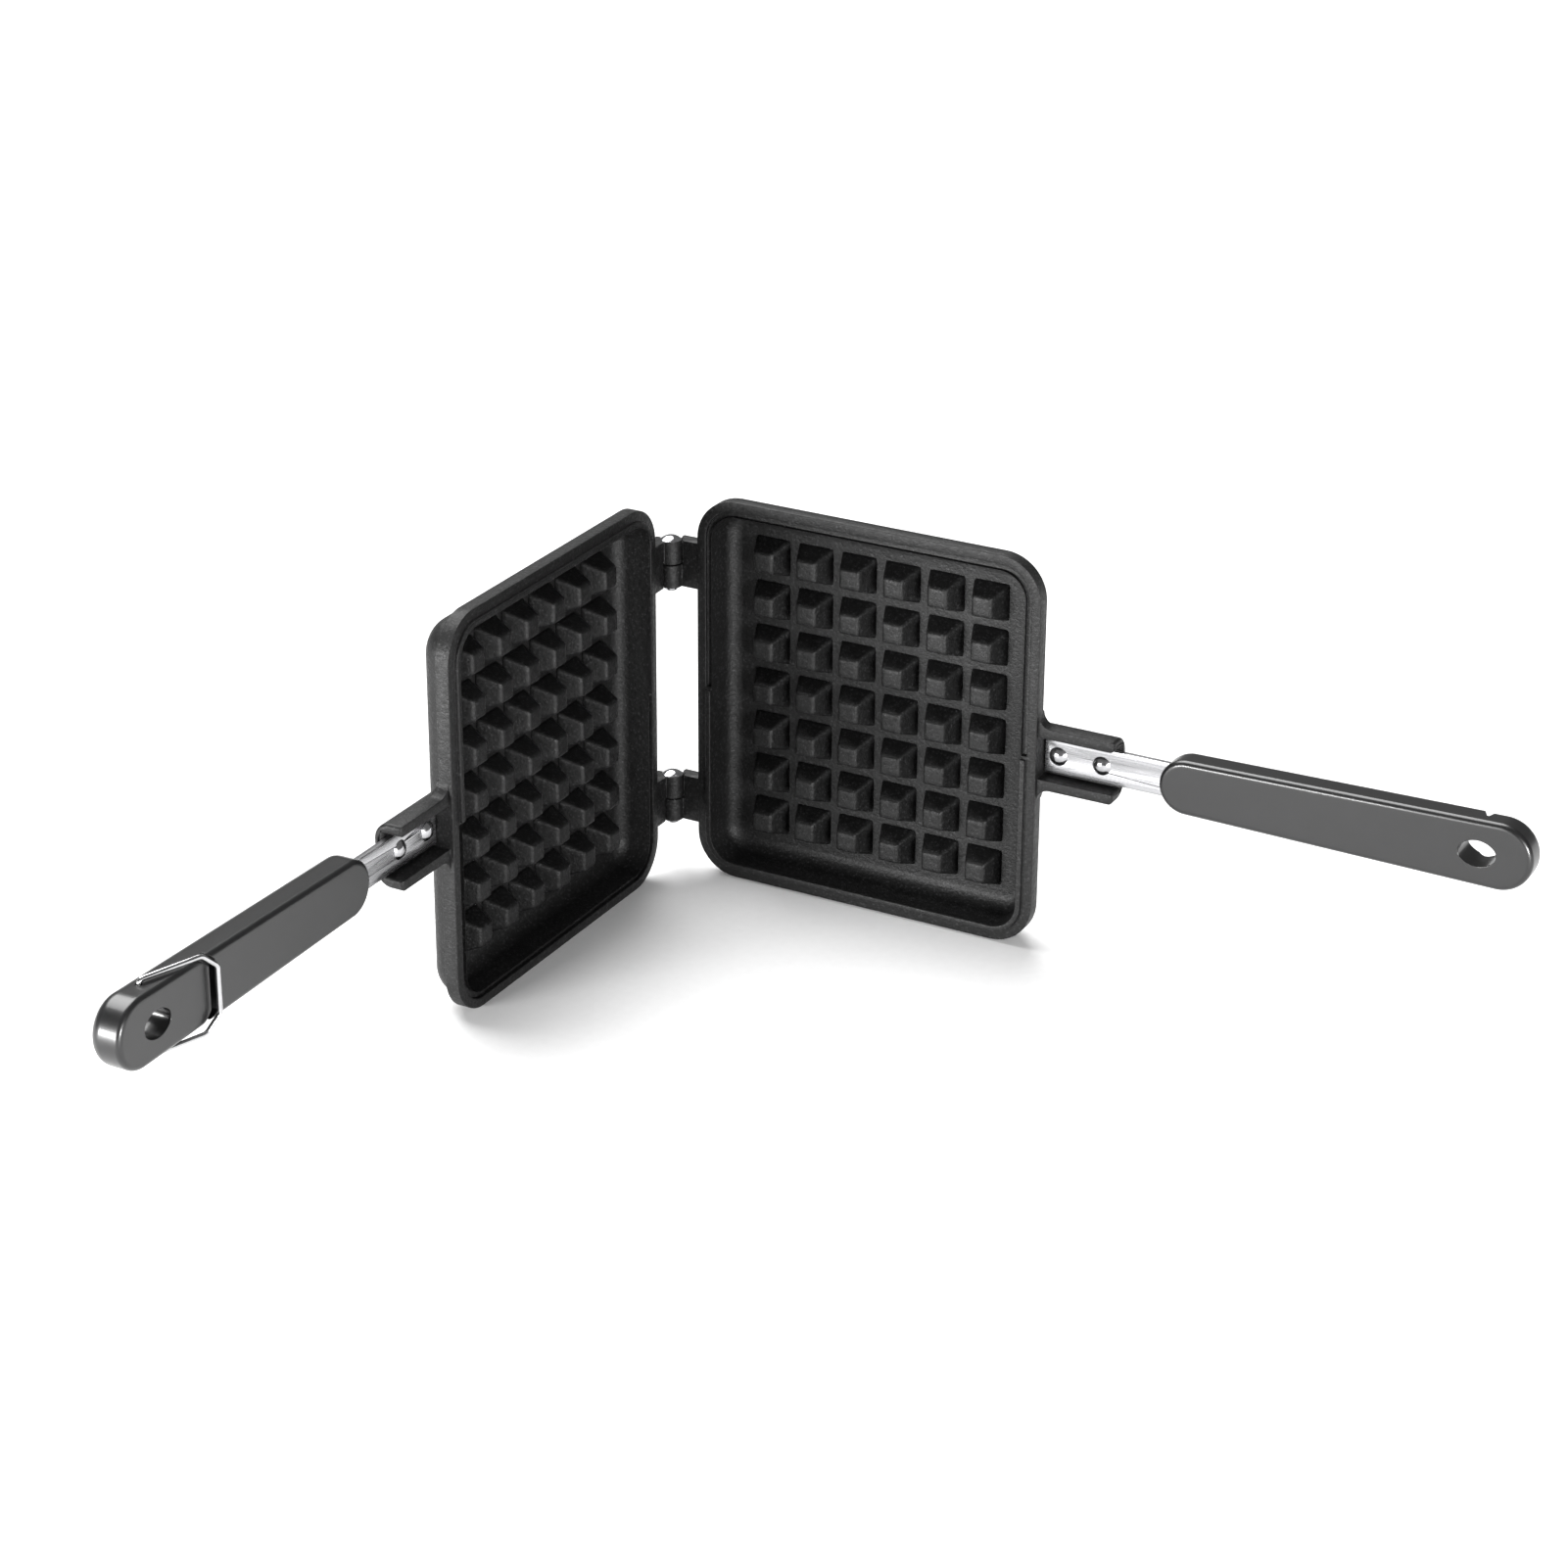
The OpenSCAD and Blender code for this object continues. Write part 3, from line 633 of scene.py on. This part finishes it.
thin = edge_levels(HANDLE_DEPTH - THIN_RELIEF, THIN_ROUND)
right_grip = handle_body("right_grip", full, thin)
valley = curve_through((HOLE - 1.8, BACK + 2.2), (HOLE, BACK + NOTCH_DEPTH),
                       (HOLE + 2.4, BACK + 2.8), 8)
notch = [(HOLE - NOTCH_HALF, BACK - PAST)] + valley
notch += [(HOLE + NOTCH_HALF, BACK + THIN_RELIEF), (HOLE + NOTCH_HALF, BACK - PAST)]
cut_away(right_grip, crosswise("notch", notch, -CUT_REACH, CUT_REACH))
nick = [(HOLE - 3.2, BACK - PAST), (HOLE + 0.8, BACK + NICK_DEPTH),
        (HOLE + 1.6, BACK + NICK_DEPTH), (HOLE + 4.2, BACK - PAST)]
for y in (-1, 1):
    cut_away(right_grip, crosswise("nick", nick, y * NICK_START, y * CUT_REACH))

# %% Hanging holes, and the finish of both handles
flare = [(HOLE_FLARE, BACK - PAST)]
flare += [(HOLE_FLARE * (1 - math.sin(math.pi / 2 * i / EDGE_STEPS)),
           BACK + HOLE_FLARE * (1 - math.cos(math.pi / 2 * i / EDGE_STEPS)))
          for i in range(EDGE_STEPS + 1)]
flare += [(0, HANDLE_FACE + PAST)]
for side, grip in (("left", left_grip), ("right", right_grip)):
    cut_away(grip, loft("hole", [
        [(x, y, z) for x, y in oval_ring(HOLE_LENGTH + 2 * grow, HOLE_WIDTH + 2 * grow)]
        for grow, z in flare]))
    shape = bmesh.new()
    shape.from_mesh(grip.data)
    drop_slivers(shape)
    bmesh.ops.transform(shape, matrix=HALVES[side], verts=shape.verts)
    shape.to_mesh(grip.data)
    shape.free()
    keep_inside(round_edges(grip, GRIP_EDGE), side + "_handle")
    finish_piece(grip, resin, side + "_half", "black_resin", side + "_handle")
    print(side, "handle faces:", len(grip.data.polygons))

# %% [markdown]
# ## Straps
# The straps are punched from sheet, so their edges are broken by tumbling only.

# %% Straps
STRAP_EDGE = 0.2
for side in HALVES:
    strap = rounded_copy(side + "_tang", side + "_strap", STRAP_EDGE, side)
    finish_piece(strap, strap_steel[side], side + "_half", "bright_steel", side + "_strap")

# %% [markdown]
# ## Rivets and hinge pins
# Rivets and pins are turned shapes. Each is drawn as an outline of radius and height, from
# the top of the domed head down to the tail, and spun round its own axis. The rivets stand
# on the straps, and the pins run through the barrels of both halves.

# %% Turned pieces
def dome(width, height, steps=10):
    """Points of a domed head, from its top down to a small round at its rim."""
    ball = (width * width / 4 + height * height) / (2 * height)
    reach = math.asin(width / 2 / ball)
    cap = [(ball * math.sin(reach * i / steps),
            height - ball * (1 - math.cos(reach * i / steps))) for i in range(steps + 1)]
    edge = cap[-1][0]
    return cap[:-1] + [(edge - 0.08, 0.14), (edge, 0.06), (edge - 0.03, 0.0)]


def turned(name, outline, place):
    """Spins an outline of (radius, height) in millimetres and puts it in its place."""
    shape = bmesh.new()
    verts = [shape.verts.new((r * MM, 0, z * MM)) for r, z in outline]
    edges = [shape.edges.new(pair) for pair in zip(verts, verts[1:])]
    bmesh.ops.spin(shape, geom=verts + edges, angle=2 * math.pi, steps=56, use_merge=True,
                   axis=(0, 0, 1), cent=(0, 0, 0))
    bmesh.ops.remove_doubles(shape, verts=shape.verts, dist=1e-7)
    bmesh.ops.recalc_face_normals(shape, faces=shape.faces)
    bmesh.ops.transform(shape, matrix=place, verts=shape.verts)
    mesh = bpy.data.meshes.new(name)
    shape.to_mesh(mesh)
    shape.free()
    piece = bpy.data.objects.new(name, mesh)
    bpy.context.scene.collection.objects.link(piece)
    for face in mesh.polygons:
        face.use_smooth = True
    mesh.set_sharp_from_angle(angle=math.radians(40))
    return piece


# %% Rivets in both brackets
SHANK = 2.0
RIVET_LENGTH = 6.2
RIVET_HEAD, HEAD_HEIGHT, TAIL_HEIGHT = 7.2, 1.7, 1.3
STRAP_FACE = -6.8
rivet_outline = dome(RIVET_HEAD, HEAD_HEIGHT) + [(SHANK, 0.0), (SHANK, -RIVET_LENGTH)]
rivet_outline += [(r, -RIVET_LENGTH - z) for r, z in reversed(dome(RIVET_HEAD, TAIL_HEIGHT))]
for side, half in HALVES.items():
    for which, x in zip(("inner", "outer"), RIVET_PLACES):
        name = f"{side}_{which}_rivet"
        rivet = turned(name + "_turned", rivet_outline,
                       half @ Matrix.Translation(Vector((x, 0, STRAP_FACE)) * MM))
        finish_piece(rivet, rivet_steel, side + "_half", "rivet_steel", name)

# %% Pins in both hinges
PIN_HALF, HINGE_HALF = 48.0, 9.2
PIN_HEAD, PIN_HEAD_HEIGHT, PIN_LENGTH = 8.0, 1.6, 18.8
PEENED_TAIL = [(2.45, 0.0), (2.7, 0.2), (2.7, 0.7), (2.5, 1.0), (0.0, 1.0)]
pin_outline = dome(PIN_HEAD, PIN_HEAD_HEIGHT) + [(SHANK, 0.0), (SHANK, -PIN_LENGTH)]
pin_outline += [(r, -PIN_LENGTH - z) for r, z in PEENED_TAIL]
for which, y in (("upper", PIN_HALF), ("lower", -PIN_HALF)):
    name = which + "_hinge_pin"
    place = (HALVES["right"] @ Matrix.Translation(Vector((0, y + HINGE_HALF, 0)) * MM)
             @ Matrix.Rotation(math.radians(-90), 4, "X"))
    pin = turned(name + "_turned", pin_outline, place)
    finish_piece(pin, rivet_steel, "left_half", "rivet_steel", name)
    print(name, "faces:", len(pin.data.polygons))

# %% [markdown]
# ## The wire bail
# The bail is one bent wire. Its corner points become a curve, each corner is rounded by its
# own bend radius, and a circle is swept along it. The corner points are the part's, turned
# about the pivot in the left handle. The bend radius travels with each point as an attribute.
# The wire is drawn 1.72 mm thick, a little thinner than the part's.

# %% Bent wire tree
def make_wire_tree(material):
    tree = bpy.data.node_groups.new("bent_wire", "GeometryNodeTree")
    tree.is_modifier = True
    tree.interface.new_socket("Geometry", in_out="INPUT", socket_type="NodeSocketGeometry")
    for name, kind, value in (("Wire radius", "NodeSocketFloat", 0.86 * MM),
                              ("Bend steps", "NodeSocketInt", 10),
                              ("Around", "NodeSocketInt", 28)):
        socket = tree.interface.new_socket(name, in_out="INPUT", socket_type=kind)
        socket.default_value = value
    tree.interface.new_socket("Geometry", in_out="OUTPUT", socket_type="NodeSocketGeometry")
    given = add(tree, "NodeGroupInput").outputs
    bend = add(tree, "GeometryNodeInputNamedAttribute", {"Name": "bend"}, data_type="FLOAT")
    path = add(tree, "GeometryNodeMeshToCurve", {"Mesh": given["Geometry"]})
    curve = add(tree, "GeometryNodeFilletCurve", {"Curve": path.outputs[0],
                "Radius": bend.outputs["Attribute"], "Count": given["Bend steps"]}, mode="POLY")
    round_wire = add(tree, "GeometryNodeCurvePrimitiveCircle", {
        "Resolution": given["Around"], "Radius": given["Wire radius"]})
    wire = add(tree, "GeometryNodeCurveToMesh", {"Curve": curve.outputs[0],
               "Profile Curve": round_wire.outputs[0], "Fill Caps": True})
    real = add(tree, "GeometryNodeRealizeInstances", {"Geometry": wire.outputs[0]})
    shiny = add(tree, "GeometryNodeSetMaterial", {"Geometry": real.outputs[0],
                "Material": material})
    add(tree, "NodeGroupOutput", {"Geometry": shiny.outputs[0]})
    return tree


# %% The bail
BAIL_ANGLE = math.radians(18)
# Corners of one side as (x, y, bend radius), from the end of the wire to the bar
corners = [(0, ROOT, 0), (0, ARM, 1.5), (CORNER - REACH, ARM, 3.0), (-REACH, BAR / 2, 3.0)]
corners += [(x, -y, bend) for x, y, bend in reversed(corners)]
swing = next(j for j in frame["joints"] if j["name"] == "bail_swing")
pivot = Matrix.Translation(Vector(swing["pos_m"])) @ HALVES["left"].to_3x3().to_4x4()
stand = pivot @ Matrix.Rotation(BAIL_ANGLE, 4, "Y")
mesh = bpy.data.meshes.new("bail_path")
mesh.from_pydata([stand @ (Vector((x, y, 0)) * MM) for x, y, bend in corners],
                 [(i, i + 1) for i in range(len(corners) - 1)], [])
bends = mesh.attributes.new("bend", "FLOAT", "POINT")
bends.data.foreach_set("value", [bend * MM for x, y, bend in corners])
bail = bpy.data.objects.new("bail_wire", mesh)
bpy.context.scene.collection.objects.link(bail)
bail.modifiers.new("sweep", "NODES").node_group = make_wire_tree(wire_steel)
bake(bail)
finish_piece(bail, wire_steel, "bail", "wire_steel", "latch_bail")
print("bail faces:", len(bail.data.polygons))

# %% [markdown]
# ## Floor and light
# The pan stands on a wide flat floor of matt white paper. A broad soft key light comes from
# above, a little from the left and from behind. Two low panels, one at the front right and one
# at the front left, light the handles and the plates, and a dim white room fills the shadows.

# %% Studio
def make_floor():
    material, tree, shader = new_material("matt_white_paper")
    place = add(tree, "ShaderNodeTexCoord").outputs["Object"]
    fibre = add(tree, "ShaderNodeTexNoise", {"Vector": place, "Scale": 300.0, "Detail": 2.0})
    tone = add(tree, "ShaderNodeMix", {"Factor": fibre.outputs["Fac"],
               "A": colour("#f4f4f4"), "B": colour("#fafafa")}, data_type="RGBA")
    tree.links.new(tone.outputs["Result"], shader.inputs["Base Color"])
    shader.inputs["Roughness"].default_value = 0.9
    mesh = bpy.data.meshes.new("floor")
    far = 6
    mesh.from_pydata([(-far, -far, 0), (far, -far, 0), (far, far, 0), (-far, far, 0)], [],
                     [(0, 1, 2, 3)])
    floor = bpy.data.objects.new("floor", mesh)
    floor.data.materials.append(material)
    bpy.context.scene.collection.objects.link(floor)


def add_light(name, spot, target, size, power):
    """A rectangular panel at a spot in metres, turned to a target, with its power in watts."""
    lamp = bpy.data.lights.new(name, "AREA")
    lamp.shape = "RECTANGLE"
    lamp.size, lamp.size_y = size
    lamp.energy = power
    light = bpy.data.objects.new(name, lamp)
    light.location = spot
    light.rotation_euler = (Vector(target) - Vector(spot)).to_track_quat("-Z", "Y").to_euler()
    bpy.context.scene.collection.objects.link(light)
    return light


def add_sun(name, towards, spread, strength):
    """A distant light that lies in a direction and spreads over an angle in degrees."""
    lamp = bpy.data.lights.new(name, "SUN")
    lamp.angle, lamp.energy = math.radians(spread), strength
    light = bpy.data.objects.new(name, lamp)
    light.rotation_euler = Vector(towards).to_track_quat("Z", "Y").to_euler()
    bpy.context.scene.collection.objects.link(light)
    return light


make_floor()
world = bpy.data.worlds.new("pale_room")
bpy.context.scene.world = world
world.use_nodes = True
room = world.node_tree.nodes["Background"].inputs
room["Color"].default_value = (1, 1, 1, 1)
room["Strength"].default_value = 0.22
add_sun("key", (-0.42, 0.25, 0.87), 50, 5)
add_light("front_right", (1.2, -0.85, 0.2), (0, 0, 0.08), (0.4, 0.3), 30)
add_light("front_left", (-0.6, -1.15, 0.14), (0, 0.1, 0.08), (0.6, 0.25), 30)
bpy.context.scene.view_settings.view_transform = "Standard"

# %% [markdown]
# ## Camera
# The camera was solved from the two peg grids in the photograph: a lens of 90.4 mm on a
# 36 mm sensor, looking 24.5 degrees down, and turned 28.4 degrees from the right plate's
# open face.

# %% Camera
TURN, DOWN, ROLL = math.radians(28.41), math.radians(24.49), math.radians(-0.31)
FROM_HINGE = (0.6917, -1.1890, 0.5832)   # the camera's place from the hinge, in metres
FOCAL_PIXELS, PHOTO_PIXELS, SENSOR = 4020, 1601, 36
right = Vector((math.cos(TURN), math.sin(TURN), 0))
ahead = Vector((-math.sin(TURN) * math.cos(DOWN), math.cos(TURN) * math.cos(DOWN),
                -math.sin(DOWN)))
up = right.cross(ahead)
side_axis = right * math.cos(ROLL) - up * math.sin(ROLL)
up_axis = right * math.sin(ROLL) + up * math.cos(ROLL)
spot = Vector(hinge["pos_m"]) + Vector(FROM_HINGE)
aim = Matrix((side_axis, up_axis, -ahead)).transposed().to_4x4()
lens = bpy.data.cameras.new("camera")
lens.lens, lens.sensor_width = FOCAL_PIXELS / PHOTO_PIXELS * SENSOR, SENSOR
lens.clip_start, lens.clip_end = 0.05, 50
camera = bpy.data.objects.new("camera", lens)
camera.matrix_world = Matrix.Translation(spot) @ aim
bpy.context.scene.collection.objects.link(camera)
bpy.context.scene.camera = camera
print("lens in mm:", round(lens.lens, 1))

# %% [markdown]
# ## Last update
# The view layer is updated once more, after all pieces are placed.

# %% Last update
bpy.context.view_layer.update()
